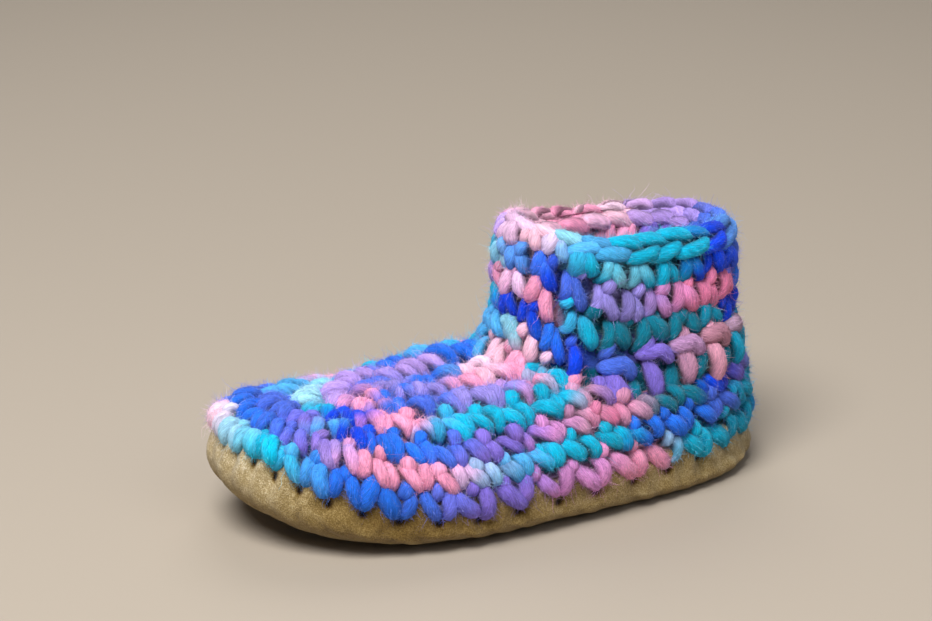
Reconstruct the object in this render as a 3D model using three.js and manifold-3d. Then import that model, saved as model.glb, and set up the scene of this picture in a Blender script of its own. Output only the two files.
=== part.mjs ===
// Child's crocheted slipper boot for the left foot: a suede sole pan, a felt insole and a thick wool upper.
// Millimetres. +X runs to the toe, +Y to the outer side of the foot and +Z up. The floor is z = 0.
import * as THREE from "three";
import Module from "manifold-3d";

const woolWall = 8; // wool wall, from the groove between two rounds to the inside
const roundSwell = 1.5; // how far a round swells out of the grooves beside it
const stitchSwell = 0.7; // how far each stitch of a round swells out of its neighbours
const stitchTooth = 2.2; // half the depth of the teeth along the lower edge of the wool
const stepsPerRound = 4; // rings of the mesh in one round
const mouthFlare = 3.5; // how far the inside of the cuff opens out at the rim
const shaftReach = 14; // how far the inside of the cuff runs down into the hollow of the foot
const suedeThick = 2.5; // wall and floor of the sole pan
const insoleThick = 3.5;
const insoleSide = 0.8; // lower edge of the insole, as a place among the loops of the sole
const insoleEdge = 0.2; // and its upper edge
const gap = 0.3; // clearance between pieces that meet
const blunt = 3.1; // how square the ends of a loop are, where its row doesn't say: 2 is an ellipse
const ballAt = 0.3; // the ball of the foot along a loop, where -1 is its back and 1 its tip
const heelX = -60; // where the half width of a loop starts to change from heel to ball
const ballX = 35; // and where it has changed
const waistX = -8; // the waist of the foot
const waistReach = 28; // how far along the foot the waist is felt
const innerWaist = 0.08; // share of the half width that is drawn in at the waist, on the inner side
const toeX = 80; // where the toe has swung by its full measure
const toeSwing = 3.5; // how far the toe swings to the inner side

const footStitches = 36; // stitches in a round of the foot
const cuffStitches = 24; // stitches in a round of the cuff
const soleColumns = 54; // corners of each loop of the sole

// Each row of the three tables is one loop round the foot. It gives the ends of the loop along X, its half
// widths at heel and ball, and its heights at back, ball and tip.

// Tops of the rounds of the foot, from the holes in the sole to the middle line of the vamp.
const footRounds = [
  { back: -83.5, tip: 87.0, heel: 34.5, ball: 40.0, backZ: 11.0, ballZ: 8.5, tipZ: 27.5 },
  { back: -84.0, tip: 85.5, heel: 35.5, ball: 41.0, backZ: 19.0, ballZ: 18.5, tipZ: 33.5 },
  { back: -83.0, tip: 79.5, heel: 35.0, ball: 39.0, backZ: 26.5, ballZ: 26.0, tipZ: 36.0 },
  { back: -80.5, tip: 71.5, heel: 33.0, ball: 33.5, backZ: 33.5, ballZ: 31.0, tipZ: 36.5 },
  { back: -78.3, tip: 63.0, heel: 29.5, ball: 26.5, backZ: 40.5, ballZ: 33.8, tipZ: 36.5 },
  { back: -72.0, tip: 54.5, heel: 20.5, ball: 19.0, backZ: 44.0, ballZ: 35.3, tipZ: 36.7 },
  { back: -62.0, tip: 45.5, heel: 11.5, ball: 11.5, backZ: 45.0, ballZ: 36.5, tipZ: 37.0 },
  { back: -52.0, tip: 37.0, heel: 3.0, ball: 3.0, backZ: 45.5, ballZ: 37.5, tipZ: 37.5 },
];

// Tops of the rounds of the cuff, from the ankle to the rim. The lowest loop is inside the foot.
const cuffRounds = [
  { back: -78.8, tip: 7.0, heel: 29.8, ball: 29.8, backZ: 33.0, ballZ: 33.0, tipZ: 36.0 },
  { back: -77.8, tip: 2.0, heel: 27.5, ball: 27.0, backZ: 41.0, ballZ: 42.5, tipZ: 45.0 },
  { back: -77.0, tip: -0.5, heel: 25.0, ball: 24.5, backZ: 49.5, ballZ: 51.0, tipZ: 54.0 },
  { back: -76.5, tip: -1.5, heel: 23.8, ball: 23.6, backZ: 58.5, ballZ: 60.0, tipZ: 63.5 },
  { back: -76.2, tip: -2.2, heel: 23.2, ball: 23.2, backZ: 67.5, ballZ: 69.0, tipZ: 72.5 },
  { back: -76.0, tip: -2.5, heel: 23.0, ball: 23.0, backZ: 73.0, ballZ: 75.0, tipZ: 78.0 },
  { back: -73.5, tip: -5.0, heel: 20.5, ball: 20.5, backZ: 76.0, ballZ: 78.0, tipZ: 81.0 },
];

// Outer face of the sole, from its flat bottom over the turned-up side to the cut edge.
const soleLoops = [
  { back: -73.5, tip: 54.0, heel: 28.5, ball: 30.5, backZ: 0.0, ballZ: 0.0, tipZ: 0.0, blunt: 4.2 },
  { back: -80.5, tip: 72.5, heel: 32.3, ball: 34.3, backZ: 1.4, ballZ: 1.1, tipZ: 5.6, blunt: 4.0 },
  { back: -84.5, tip: 85.0, heel: 35.3, ball: 38.8, backZ: 4.0, ballZ: 3.2, tipZ: 14.0, blunt: 3.5 },
  { back: -85.0, tip: 89.0, heel: 35.9, ball: 41.2, backZ: 7.2, ballZ: 5.5, tipZ: 21.0, blunt: 3.1 },
  { back: -82.5, tip: 86.5, heel: 33.5, ball: 39.0, backZ: 11.0, ballZ: 8.5, tipZ: 27.5, blunt: 3.1 },
  { back: -80.0, tip: 83.0, heel: 31.0, ball: 36.5, backZ: 15.5, ballZ: 13.5, tipZ: 32.0, blunt: 3.1 },
];

const { Manifold, Mesh } = await (async () => {
  const wasm = await Module();
  wasm.setup();
  return wasm;
})();

// A loop at any place between the rows of a table, through a smooth curve down each column.
function loopAt(table, place) {
  const last = table.length - 1;
  const at = Math.min(Math.max(Math.floor(place), 0), last - 1);
  const t = place - at;
  const row = (i) => table[Math.min(Math.max(i, 0), last)];
  const loop = {};
  for (const key of Object.keys(table[0])) {
    const [p, q, r, s] = [row(at - 1)[key], row(at)[key], row(at + 1)[key], row(at + 2)[key]];
    const pull = 2 * p - 5 * q + 4 * r - s;
    loop[key] = q + 0.5 * t * (r - p + t * (pull + t * (3 * (q - r) + s - p)));
  }
  return loop;
}

// The point of a loop at an angle, counted from the tip round by the outer side.
function loopPoint(loop, angle) {
  const square = loop.blunt ?? blunt;
  const along = Math.sign(Math.cos(angle)) * Math.abs(Math.cos(angle)) ** (2 / square);
  const x = (loop.tip + loop.back) / 2 + (along * (loop.tip - loop.back)) / 2;
  const half = loop.heel + (loop.ball - loop.heel) * THREE.MathUtils.smoothstep(x, heelX, ballX);
  const waist = angle > Math.PI ? innerWaist * Math.exp(-(((x - waistX) / waistReach) ** 2)) : 0;
  const fore = Math.max(0, (along - ballAt) / (1 - ballAt)) ** 2;
  const aft = Math.max(0, (ballAt - along) / (1 + ballAt)) ** 2;
  return new THREE.Vector3(
    x,
    half * (1 - waist) * Math.sin(angle) - toeSwing * Math.max(0, x / toeX) ** 2,
    loop.ballZ + fore * (loop.tipZ - loop.ballZ) + aft * (loop.backZ - loop.ballZ),
  );
}

// Points spaced evenly along a loop, the first of them at its tip.
function evenRing(loop, count) {
  const fine = Array.from({ length: 721 }, (_, i) => loopPoint(loop, (i * Math.PI) / 360));
  const reached = [0];
  for (let i = 1; i < fine.length; i++) reached.push(reached[i - 1] + fine[i].distanceTo(fine[i - 1]));
  const ring = [];
  for (let j = 0, i = 1; j < count; j++) {
    const want = (reached[720] * j) / count;
    while (reached[i] < want) i++;
    ring.push(fine[i - 1].clone().lerp(fine[i], (want - reached[i - 1]) / (reached[i] - reached[i - 1])));
  }
  return ring;
}

// Rings of a table at the given places, each point moved out of the surface by depth(place, column).
function skin(table, places, count, depth) {
  const last = table.length - 1;
  const step = 0.1;
  return places.map((place) => {
    const ring = evenRing(loopAt(table, place), count);
    const above = evenRing(loopAt(table, Math.min(place + step, last)), count);
    const below = evenRing(loopAt(table, Math.max(place - step, 0)), count);
    return ring.map((point, j) => {
      const round = ring[(j + 1) % count].clone().sub(ring[(j + count - 1) % count]);
      const out = round.cross(above[j].clone().sub(below[j])).normalize();
      return point.clone().addScaledVector(out, depth(place, j));
    });
  });
}

// A closed solid through rings that run anticlockwise from above, capped at both ends.
function loft(rings) {
  const count = rings[0].length;
  const points = rings.flat();
  const triangles = [];
  for (let i = 0; i + 1 < rings.length; i++) {
    for (let j = 0; j < count; j++) {
      const [a, b] = [i * count + j, i * count + ((j + 1) % count)];
      triangles.push(a, b, b + count, a, b + count, a + count);
    }
  }
  const cap = (ring, first, turned) => {
    const middle = ring.reduce((sum, p) => sum.add(p), new THREE.Vector3()).divideScalar(count);
    points.push(middle);
    for (let j = 0; j < count; j++) {
      const edge = [first + j, first + ((j + 1) % count)];
      triangles.push(points.length - 1, ...(turned ? edge.reverse() : edge));
    }
  };
  cap(rings[0], 0, true);
  cap(rings.at(-1), (rings.length - 1) * count, false);
  return Manifold.ofMesh(
    new Mesh({
      numProp: 3,
      vertProperties: new Float32Array(points.flatMap((p) => p.toArray())),
      triVerts: new Uint32Array(triangles),
    }),
  );
}

function steps(from, to, size) {
  const count = Math.round((to - from) / size) + 1;
  return Array.from({ length: count }, (_, i) => from + i * size);
}

const lifted = (ring, by) => ring.map((p) => p.clone().setZ(p.z + by));

// Swell of the wool: a rib for each round, and on it a pillow for each stitch.
function swell(stitches, count) {
  return (place, j) => {
    const rib = Math.sin(Math.PI * (place - Math.floor(place)));
    return rib * (roundSwell + stitchSwell * Math.cos((2 * Math.PI * j * stitches) / count));
  };
}

// Sole: a pan whose outer face goes up to the cut edge and comes back down inside.
const soleEdge = soleLoops.length - 1;
const soleOuter = (by) => skin(soleLoops, steps(0, soleEdge, 0.5), soleColumns, (place) => (place ? by : 0));

function makeSole() {
  const inner = skin(soleLoops, steps(0, soleEdge, 1), soleColumns, () => -suedeThick);
  return loft([...soleOuter(0), ...inner.reverse()]);
}

// Insole: a pad on the floor of the pan, whose side leans in to its upper edge.
function makeInsole() {
  const under = () => -suedeThick - 2 * gap;
  const floor = skin(soleLoops, [0, insoleSide], soleColumns, under);
  const top = skin(soleLoops, [insoleEdge, 0], soleColumns, under);
  return loft([...floor, ...top.map((ring) => lifted(ring, insoleThick))]);
}

// Upper: the foot and the cuff joined, hollowed at the thickness of the wool and cut clear of the sole.
function makeUpper() {
  const footColumns = 2 * footStitches;
  const cuffColumns = 2 * cuffStitches;
  const footTop = footRounds.length - 1;
  const cuffTop = cuffRounds.length - 1;

  const footSwell = swell(footStitches, footColumns);
  const footRings = skin(footRounds, steps(0, footTop, 1 / stepsPerRound), footColumns, footSwell);
  footRings[0].forEach((p, j) => (p.z += j % 2 ? stitchTooth : -stitchTooth));
  const cuffSwell = swell(cuffStitches, cuffColumns);
  const cuffRings = skin(cuffRounds, steps(0, cuffTop, 1 / stepsPerRound), cuffColumns, cuffSwell);
  const outside = loft(footRings).add(loft(cuffRings));

  const footHollow = loft(skin(footRounds, steps(0, footTop, 1), footStitches, () => -woolWall));
  const cuffWall = skin(cuffRounds, steps(0, cuffTop - 1, 0.5), cuffColumns, () => -woolWall);
  const mouth = skin(cuffRounds, [cuffTop - 1], cuffColumns, () => mouthFlare - woolWall);
  const shaft = [lifted(cuffWall[0], -shaftReach), ...cuffWall, ...mouth.map((ring) => lifted(ring, 12))];

  const soleBody = soleOuter(gap);
  soleBody.push(lifted(soleBody.at(-1), gap));
  return outside.subtract(footHollow).subtract(loft(shaft)).subtract(loft(soleBody));
}

function piece(name, solid, look) {
  const mesh = solid.getMesh();
  const geometry = new THREE.BufferGeometry();
  geometry.setAttribute("position", new THREE.BufferAttribute(mesh.vertProperties, 3));
  geometry.setIndex(new THREE.BufferAttribute(mesh.triVerts, 1));
  geometry.computeVertexNormals();
  const part = new THREE.Mesh(geometry, new THREE.MeshStandardMaterial(look));
  part.name = name;
  return part;
}

const slipper = new THREE.Group();
slipper.name = "slipper";
slipper.add(piece("sole", makeSole(), { color: 0xa9855c, roughness: 0.95 }));
slipper.add(piece("insole", makeInsole(), { color: 0xcfc3ae, roughness: 1 }));
slipper.add(piece("upper", makeUpper(), { color: 0x6a83b8, roughness: 1 }));

export default slipper;
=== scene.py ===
import math

import bpy
import numpy as np
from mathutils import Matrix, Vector


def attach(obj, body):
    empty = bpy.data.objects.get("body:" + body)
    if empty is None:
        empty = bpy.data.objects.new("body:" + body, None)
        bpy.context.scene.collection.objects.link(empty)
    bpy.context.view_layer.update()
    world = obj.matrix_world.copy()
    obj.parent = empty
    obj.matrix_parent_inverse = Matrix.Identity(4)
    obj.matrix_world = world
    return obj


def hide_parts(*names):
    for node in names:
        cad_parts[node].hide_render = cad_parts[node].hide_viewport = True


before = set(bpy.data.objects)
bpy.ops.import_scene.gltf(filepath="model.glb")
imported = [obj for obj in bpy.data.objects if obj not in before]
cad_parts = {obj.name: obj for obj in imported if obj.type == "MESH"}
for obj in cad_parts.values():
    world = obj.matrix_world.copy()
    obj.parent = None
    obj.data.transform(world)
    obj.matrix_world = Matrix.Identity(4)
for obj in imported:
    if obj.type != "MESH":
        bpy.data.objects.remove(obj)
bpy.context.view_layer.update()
rng = np.random.default_rng(11)
mm = 0.001
tiny = 1e-9


# Shader helpers: a Wire is an output socket, and sums on it add Math nodes.
class Wire:
    def __init__(self, look, socket):
        self.look, self.socket = look, socket

    def sum(self, operation, a, b):
        return self.look.node("Math", {"operation": operation}, {0: a, 1: b})

    def __add__(self, other):
        return self.sum("ADD", self, other)

    def __radd__(self, other):
        return self.sum("ADD", other, self)

    def __mul__(self, other):
        return self.sum("MULTIPLY", self, other)

    def __rmul__(self, other):
        return self.sum("MULTIPLY", other, self)


# the fine relief of wool, suede and felt, depth in millimetres
bumps = {"depth": 0.6, "strength": 0.8}


class Look:
    def __init__(self, name, **fixed):
        self.material = bpy.data.materials.new(name)
        self.material.use_nodes = True
        self.tree = self.material.node_tree
        self.shader = self.tree.nodes["Principled BSDF"]
        self.feed(self.shader, fixed)

    def feed(self, node, values):
        for key, value in values.items():
            socket = node.inputs[key]
            if isinstance(value, Wire):
                self.tree.links.new(value.socket, socket)
            else:
                socket.default_value = value

    def node(self, kind, settings, values, take=0):
        node = self.tree.nodes.new("ShaderNode" + kind)
        for key, value in settings.items():
            if key == "stops":
                for stop, (place, colour) in zip(self.stopsFor(node, len(value)), value):
                    stop.position, stop.color = place, (*colour, 1)
            else:
                setattr(node, key, value)
        self.feed(node, values)
        return Wire(self, node.outputs[take])

    def stopsFor(self, node, count):
        ramp = node.color_ramp.elements
        while len(ramp) < count:
            ramp.new(1.0)
        return ramp

    def ramp(self, factor, *stops):
        return self.node("ValToRGB", {"stops": stops}, {"Fac": factor})

    def noise(self, where, scale, detail=2.0, rough=0.5):
        values = {"Vector": where, "Scale": scale, "Detail": detail, "Roughness": rough}
        return self.node("TexNoise", {}, values)

    def multiply(self, a, b):
        # sockets 6 and 7 and output 2 are the Mix node's colours
        settings = {"data_type": "RGBA", "blend_type": "MULTIPLY"}
        return self.node("Mix", settings, {0: 1.0, 6: a, 7: b}, take=2)

    def stretch(self, where, by):
        return self.node("VectorMath", {"operation": "MULTIPLY"}, {0: where, 1: by})

    def attribute(self, name, take):
        return self.node("Attribute", {"attribute_name": name}, {}, take=take)

    def objectPlace(self):
        return self.node("TexCoord", {}, {}, take="Object")

    def finish(self, colour, rough, height):
        values = {"Height": height, "Distance": bumps["depth"] * mm, "Strength": bumps["strength"]}
        bump = self.node("Bump", {}, values)
        self.feed(self.shader, {"Base Color": colour, "Roughness": rough, "Normal": bump})


def linear(hexColour):
    # from a screen colour to linear light
    parts = np.array([int(hexColour[i:i + 2], 16) for i in (0, 2, 4)]) / 255
    return np.where(parts < 0.04045, parts / 12.92, ((parts + 0.055) / 1.055) ** 2.4)


def smooth(low, high, value):
    t = np.clip((value - low) / (high - low), 0, 1)
    return t * t * (3 - 2 * t)


def unit(vectors):
    return vectors / np.maximum(np.linalg.norm(vectors, axis=-1, keepdims=True), tiny)


def fromFront(turn):
    # how far round from the tip, by either side: 0 at the tip and a half at the back
    return np.abs((turn + 0.5) % 1 - 0.5)


# The shape of the shoe, in millimetres, as loops round the foot.
lastShape = {"blunt": 3.1, "ballAt": 0.3, "heelX": -60, "ballX": 35, "waistX": -8, "waistReach": 28,
             "innerWaist": 0.08, "toeX": 80, "toeSwing": 3.5}

# back, tip, half width at heel and ball, height at back, ball and tip
footRounds = np.array([
    (-83.5, 87.0, 34.5, 40.0, 11.0, 8.5, 27.5),
    (-84.0, 85.5, 35.5, 41.0, 19.0, 18.5, 33.5),
    (-83.0, 79.5, 35.0, 39.0, 26.5, 26.0, 36.0),
    (-80.5, 71.5, 33.0, 33.5, 33.5, 31.0, 36.5),
    (-78.3, 63.0, 29.5, 26.5, 40.5, 33.8, 36.5),
    (-72.0, 54.5, 20.5, 19.0, 44.0, 35.3, 36.7),
    (-62.0, 45.5, 11.5, 11.5, 45.0, 36.5, 37.0),
    (-52.0, 37.0, 3.0, 3.0, 45.5, 37.5, 37.5),
])
cuffRounds = np.array([
    (-78.8, 7.0, 29.8, 29.8, 33.0, 33.0, 36.0),
    (-77.8, 2.0, 27.5, 27.0, 41.0, 42.5, 45.0),
    (-77.0, -0.5, 25.0, 24.5, 49.5, 51.0, 54.0),
    (-76.5, -1.5, 23.8, 23.6, 58.5, 60.0, 63.5),
    (-76.2, -2.2, 23.2, 23.2, 67.5, 69.0, 72.5),
    (-76.0, -2.5, 23.0, 23.0, 73.0, 75.0, 78.0),
    (-73.5, -5.0, 20.5, 20.5, 76.0, 78.0, 81.0),
])
# the sole's loops also say how square their ends are
soleLoops = np.array([
    (-73.5, 57.0, 28.5, 30.5, 0.0, 0.0, 0.0, 4.6),
    (-80.5, 73.0, 32.3, 34.3, 1.4, 1.1, 4.4, 4.5),
    (-84.5, 85.0, 35.3, 38.8, 4.0, 3.2, 13.2, 3.8),
    (-85.0, 89.0, 35.9, 41.2, 7.2, 5.5, 21.0, 3.1),
    (-84.3, 87.6, 35.2, 40.8, 11.5, 9.2, 27.0, 3.1),
    (-84.0, 84.8, 35.0, 40.3, 18.0, 16.0, 33.5, 3.1),
])


def curveThrough(rows, place):
    # Catmull-Rom down every column of a table
    last = len(rows) - 1
    at = np.clip(np.floor(place).astype(int), 0, last - 1)
    t = (place - at)[:, None]
    p, q, r, s = (rows[np.clip(at + k, 0, last)] for k in (-1, 0, 1, 2))
    return q + 0.5 * t * (r - p + t * (2 * p - 5 * q + 4 * r - s + t * (3 * (q - r) + s - p)))


def loopPoints(loop, angle):
    shape = lastShape
    back, tip, heel, ball, backZ, ballZ, tipZ, *square = loop
    cosine, sine = np.cos(angle), np.sin(angle)
    blunt = square[0] if square else shape["blunt"]
    along = np.sign(cosine) * np.abs(cosine) ** (2 / blunt)
    x = (tip + back) / 2 + along * (tip - back) / 2
    half = heel + (ball - heel) * smooth(shape["heelX"], shape["ballX"], x)
    waist = shape["innerWaist"] * np.exp(-((x - shape["waistX"]) / shape["waistReach"]) ** 2) * (sine < 0)
    fore = np.maximum(0, (along - shape["ballAt"]) / (1 - shape["ballAt"])) ** 2
    aft = np.maximum(0, (shape["ballAt"] - along) / (1 + shape["ballAt"])) ** 2
    y = half * (1 - waist) * sine - shape["toeSwing"] * np.maximum(0, x / shape["toeX"]) ** 2
    return np.stack([x, y, ballZ + fore * (tipZ - ballZ) + aft * (backZ - ballZ)], -1)


# grid points round a loop and between two loops, and samples that space a loop evenly
skinGrid = {"columns": 720, "fine": 20, "samples": 1441}


class Skin:
    # a table of loops as a surface: place runs up the loops, turn once round from the tip by the outer side
    def __init__(self, rows):
        self.last, self.columns, self.fine = len(rows) - 1, skinGrid["columns"], skinGrid["fine"]
        angle = np.linspace(0, 2 * np.pi, skinGrid["samples"])
        rings = []
        for loop in curveThrough(rows, np.arange(self.last * self.fine + 1) / self.fine):
            points = loopPoints(loop, angle)
            reached = np.r_[0, np.cumsum(np.linalg.norm(np.diff(points, axis=0), axis=1))]
            even = np.linspace(0, reached[-1], self.columns, endpoint=False)
            rings.append(np.stack([np.interp(even, reached, points[:, k]) for k in range(3)], -1))
        self.points = np.array(rings)
        across = np.roll(self.points, -1, 1) - np.roll(self.points, 1, 1)
        self.outs = unit(np.cross(across, np.gradient(self.points, axis=0)))

    def at(self, place, turn):
        # points and outward directions; past the first or last loop the surface goes on straight
        i = place * self.fine
        j = (turn % 1) * self.columns
        i0 = np.clip(np.floor(i).astype(int), 0, self.last * self.fine - 1)
        j0 = np.floor(j).astype(int) % self.columns
        j1 = (j0 + 1) % self.columns
        s, t = (i - i0)[..., None], (j - np.floor(j))[..., None]

        def between(grid):
            low = grid[i0, j0] * (1 - t) + grid[i0, j1] * t
            high = grid[i0 + 1, j0] * (1 - t) + grid[i0 + 1, j1] * t
            return low, high
        low, high = between(self.points)
        outLow, outHigh = between(self.outs)
        k = np.clip(s, 0, 1)
        return low + (high - low) * s, unit(outLow * (1 - k) + outHigh * k)


footSkin, cuffSkin, soleSkin = Skin(footRounds), Skin(cuffRounds), Skin(soleLoops)
print("loops laid out")


# Meshes from arrays
def meshPiece(name, points, quads, triangles, look, values):
    mesh = bpy.data.meshes.new(name)
    corners = np.concatenate([quads.ravel(), triangles.ravel()]).astype(np.int32)
    starts = np.concatenate([np.arange(len(quads)) * 4, 4 * len(quads) + np.arange(len(triangles)) * 3])
    mesh.vertices.add(len(points))
    mesh.vertices.foreach_set("co", (points * mm).astype(np.float32).ravel())
    mesh.loops.add(len(corners))
    mesh.loops.foreach_set("vertex_index", corners)
    mesh.polygons.add(len(starts))
    mesh.polygons.foreach_set("loop_start", starts.astype(np.int32))
    mesh.update(calc_edges=True)
    mesh.shade_smooth()
    for key, value in values.items():
        kind, field = ("FLOAT_COLOR", "color") if value.shape[-1] == 4 else ("FLOAT_VECTOR", "vector")
        layer = mesh.attributes.new(key, kind, "POINT")
        layer.data.foreach_set(field, value.astype(np.float32).ravel())
    mesh.materials.append(look.material)
    piece = bpy.data.objects.new(name, mesh)
    bpy.context.scene.collection.objects.link(piece)
    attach(piece, "root")
    return piece


def opaque(colours):
    return np.concatenate([colours, np.ones((len(colours), 1))], 1)


def gridQuads(rows, columns, first=0):
    # faces of a grid that closes on itself across its columns
    i, j = np.meshgrid(np.arange(rows - 1), np.arange(columns), indexing="ij")
    a, b = first + i * columns + j, first + i * columns + (j + 1) % columns
    return np.stack([a, b, b + columns, a + columns], -1).reshape(-1, 4)


def closingFans(rows, columns):
    # triangles that close a grid's first and last ring, about two points listed after the grid
    k, last = np.arange(columns), (rows - 1) * columns
    ahead = (k + 1) % columns
    under = np.stack([np.full(columns, rows * columns), ahead, k], -1)
    upper = np.stack([np.full(columns, rows * columns + 1), last + k, last + ahead], -1)
    return np.concatenate([under, upper])


# Yarn, in millimetres: each strand is a lumpy tube, with painted shade darkening its sides and underside
# where it turns into the fabric
yarn = {"sides": 12, "twist": 0.22, "flat": 0.86, "lump": 0.035, "lumpWaves": (1, 2, 2, 3), "lumpPace": 1.1,
        "apart": 400, "paintedCreaseShade": 0.3, "paintedShadeFrom": -0.3, "paintedShadeTo": 0.8, "toneRange": (0.004, 0.95)}


class Strands:
    # strands of yarn gathered into one mesh
    def __init__(self):
        self.parts = []

    def lay(self, path, out, radius, colour):
        # path, out and colour are (strands, steps, 3), radius is (strands, steps)
        ahead = unit(np.gradient(path, axis=1))
        up = unit(out - (out * ahead).sum(2, keepdims=True) * ahead)
        side = np.cross(ahead, up)
        angle = np.arange(yarn["sides"]) * 2 * np.pi / yarn["sides"]
        cosine, sine = np.cos(angle)[:, None], np.sin(angle)[:, None]
        spoke = cosine * side[:, :, None] + yarn["flat"] * sine * up[:, :, None]
        step = np.linalg.norm(np.diff(path, axis=1), axis=2)
        along = np.concatenate([np.zeros((len(path), 1)), np.cumsum(step, 1)], 1)[:, :, None]
        each = (len(path), 1, 1)
        lump = np.ones((*path.shape[:2], yarn["sides"]))
        for waves in yarn["lumpWaves"]:
            pace = rng.uniform(-yarn["lumpPace"], yarn["lumpPace"], each)
            start = rng.uniform(0, 2 * np.pi, each)
            lump += yarn["lump"] * np.sin(waves * angle + pace * along + start)
        wide = radius[:, :, None]
        rings = path[:, :, None] + (wide * lump)[..., None] * spoke
        # each strand has its own stretch of the fibre pattern
        shift = rng.uniform(0, yarn["apart"], (*each, 3))
        spun = angle + yarn["twist"] * along
        where = [np.broadcast_to(along, rings.shape[:3]), wide * np.cos(spun), wide * np.sin(spun)]
        # painted shade: the sides and underside of each strand are darkened, and the side facing out is left
        # light
        paintedLitSide = smooth(yarn["paintedShadeFrom"], yarn["paintedShadeTo"], np.sin(angle))[:, None]
        tone = yarn["paintedCreaseShade"] + (1 - yarn["paintedCreaseShade"]) * paintedLitSide
        dye = np.clip(colour, *yarn["toneRange"])[:, :, None] * tone
        self.parts.append((rings, np.stack(where, -1) + shift, dye, spoke, ahead))

    def faces(self):
        # quads along the strands, and a fan of triangles on both ends of each
        quads, fans, first = [], [], 0
        for rings, *_ in self.parts:
            strands, steps, sides, _ = rings.shape
            s, i, k = np.meshgrid(np.arange(strands), np.arange(steps - 1), np.arange(sides), indexing="ij")
            a = first + (s * steps + i) * sides + k
            b = first + (s * steps + i) * sides + (k + 1) % sides
            quads.append(np.stack([a, a + sides, b + sides, b], -1).reshape(-1, 4))
            k = np.arange(1, sides - 1)
            for end, turn in ((0, (k, k + 1)), (steps - 1, (k + 1, k))):
                base = first + (np.arange(strands) * steps + end)[:, None] * sides
                fan = [np.broadcast_to(base, (strands, sides - 2)), base + turn[0], base + turn[1]]
                fans.append(np.stack(fan, -1).reshape(-1, 3))
            first += rings[..., 0].size
        return np.concatenate(quads), np.concatenate(fans)

    def piece(self, name, look):
        points, where, dye, *_ = zip(*self.parts)
        points, where, dye = (np.concatenate([grid.reshape(-1, 3) for grid in grids])
                              for grids in (points, where, dye))
        return meshPiece(name, points, *self.faces(), look, {"dye": opaque(dye), "strand": where})


# Wool: the dyes, and where each of them runs along the rounds
dyes = {name: linear(code) for name, code in {
    "pink": "f7a0c6", "rose": "e07ea8", "shell": "fcc6de", "blush": "e2bade", "dusk": "dc9cb6",
    "mauve": "c892b4", "orchid": "d48ed0", "lilac": "b89ae6", "heather": "9a8ee2", "violet": "8470d8",
    "iris": "4c70e2", "royal": "0442de", "blue": "2570e8", "cornflower": "5896ec", "powder": "9ab6e4",
    "sky": "52b2f0", "ice": "a0d8f4", "frost": "86c8de", "turquoise": "00b6de", "teal": "009cc2",
    "sea": "007690",
}.items()}
dyeChange = 0.012  # share of a round over which one dye goes over into the next


def runs(words):
    # "0.10 blue 0.18 violet" means blue from a tenth of the way round, violet from there on
    parts = words.split()
    return np.array([float(p) for p in parts[0::2]]), np.array([dyes[p] for p in parts[1::2]])


def dyeAt(words, turn):
    starts, colours = runs(words)
    turn = turn % 1
    at = np.searchsorted(starts, turn, side="right") - 1
    since = (turn - starts[at]) % 1
    until = (starts[(at + 1) % len(starts)] - turn) % 1
    here, before, after = colours[at], colours[at - 1], colours[(at + 1) % len(starts)]
    early = 0.5 * (1 - smooth(0, dyeChange, since))[..., None]
    late = 0.5 * (1 - smooth(0, dyeChange, until))[..., None]
    return here * (1 - early - late) + before * early + after * late


# The parts of a stitch: across in stitch widths, up in round heights, out and radius in millimetres
stitch = {
    "left": np.array([(-0.53, 0.45, -3.2, 1.0), (-0.46, 0.35, -0.6, 1.8), (-0.32, 0.17, 0.6, 2.25),
                      (-0.12, -0.08, 0.8, 2.3), (0.02, -0.27, 0.2, 1.95), (0.10, -0.46, -2.8, 1.0)]),
    "right": np.array([(-0.03, 0.57, -3.4, 1.0), (0.05, 0.45, -0.5, 1.75), (0.17, 0.23, 0.6, 2.1),
                       (0.27, -0.02, 0.7, 2.15), (0.30, -0.25, 0.0, 1.8), (0.27, -0.46, -2.8, 1.0)]),
    "gather": np.array([(0.11, 0.55, -3.4, 1.0), (0.17, 0.43, -0.5, 1.75), (0.22, 0.21, 0.5, 2.1),
                        (0.23, -0.04, 0.6, 2.1), (0.18, -0.27, 0.0, 1.75), (0.11, -0.47, -2.8, 1.0)]),
    "dot": np.array([(0.53, -0.76, -2.8, 1.1), (0.54, -0.57, 0.0, 1.95),
                     (0.56, -0.35, 0.1, 1.95), (0.58, -0.13, -3.0, 1.1)]),
    "post": np.array([(-0.08, 0.55, -2.6, 1.5), (-0.05, 0.30, 0.1, 2.4), (0.0, 0.05, 0.6, 2.6),
                      (0.04, -0.20, 0.4, 2.5), (0.03, -0.42, -0.6, 2.1), (0.0, -0.58, -2.8, 1.2)]),
    "bit": np.array([(0.36, -0.55, -3.0, 1.2), (0.45, -0.28, -1.2, 2.1),
                     (0.58, 0.05, -1.2, 2.1), (0.66, 0.30, -3.2, 1.2)]),
    # how many stitches further on each part takes its dye
    "lag": {"left": 0.0, "right": 0.2, "gather": 0.2, "dot": 0.5, "post": 0.0, "bit": 0.5},
    # painted shade: each part is darker towards its ends, where it dives into the fabric
    "steps": 11, "openFrom": 0.49, "paintedEndShade": 0.72, "shade": 0.09,
    "legWander": 0.05, "heightWander": 0.07, "outWander": 0.4, "thickWander": 0.11,
}


def level(value):
    return lambda turn: np.full_like(turn, value)


def climb(*marks):
    # a value as a round goes from the front to the back, the same on both sides
    turns, values = np.array(marks).T
    return lambda turn: np.interp(fromFront(turn), turns, values)


def goRound(*marks):
    # the same for a round that differs from side to side
    turns, values = np.array(marks).T
    return lambda turn: np.interp(turn % 1, turns, values)


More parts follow.
